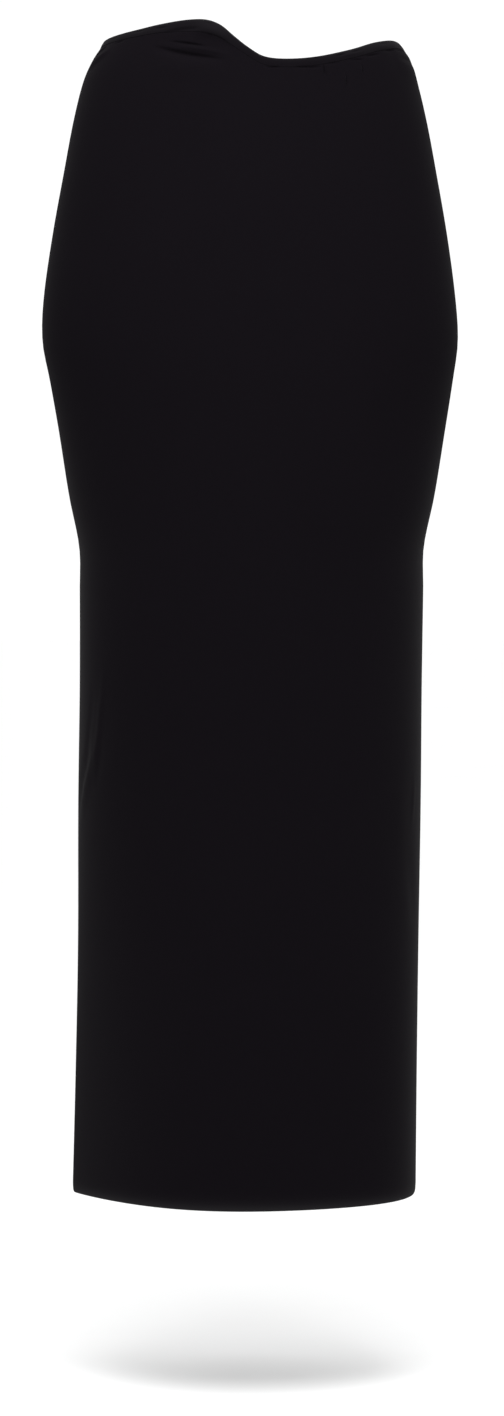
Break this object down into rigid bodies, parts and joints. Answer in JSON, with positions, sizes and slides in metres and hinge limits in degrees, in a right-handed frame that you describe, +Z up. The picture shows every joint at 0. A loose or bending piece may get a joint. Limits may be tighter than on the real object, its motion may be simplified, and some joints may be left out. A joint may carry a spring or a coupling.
{
  "type": "maxi skirt",
  "caption": "Ankle-length column skirt in smooth dark stretch jersey, low on the waist, with a narrow waistband whose front edge rises in one wave, an open hem and hollow cloth walls.",
  "frame": {"origin": "middle of the waist opening, level with the top of the right side seam, where the wearer's waist holds the skirt", "axes": "+Z up towards the waist, -Y out of the front, +X towards the wearer's left"},
  "size_m": [0.3241, 0.2431, 0.9061],
  "materials": {
    "jersey": "fine matt stretch jersey with a faint soft sheen at grazing angles",
    "waistband_jersey": "the same jersey folded into a narrow soft band"
  },
  "bodies": {
    "root": {"front_panel": "jersey", "back_panel": "jersey", "waistband_front": "waistband_jersey", "waistband_back": "waistband_jersey"}
  },
  "joints": []
}
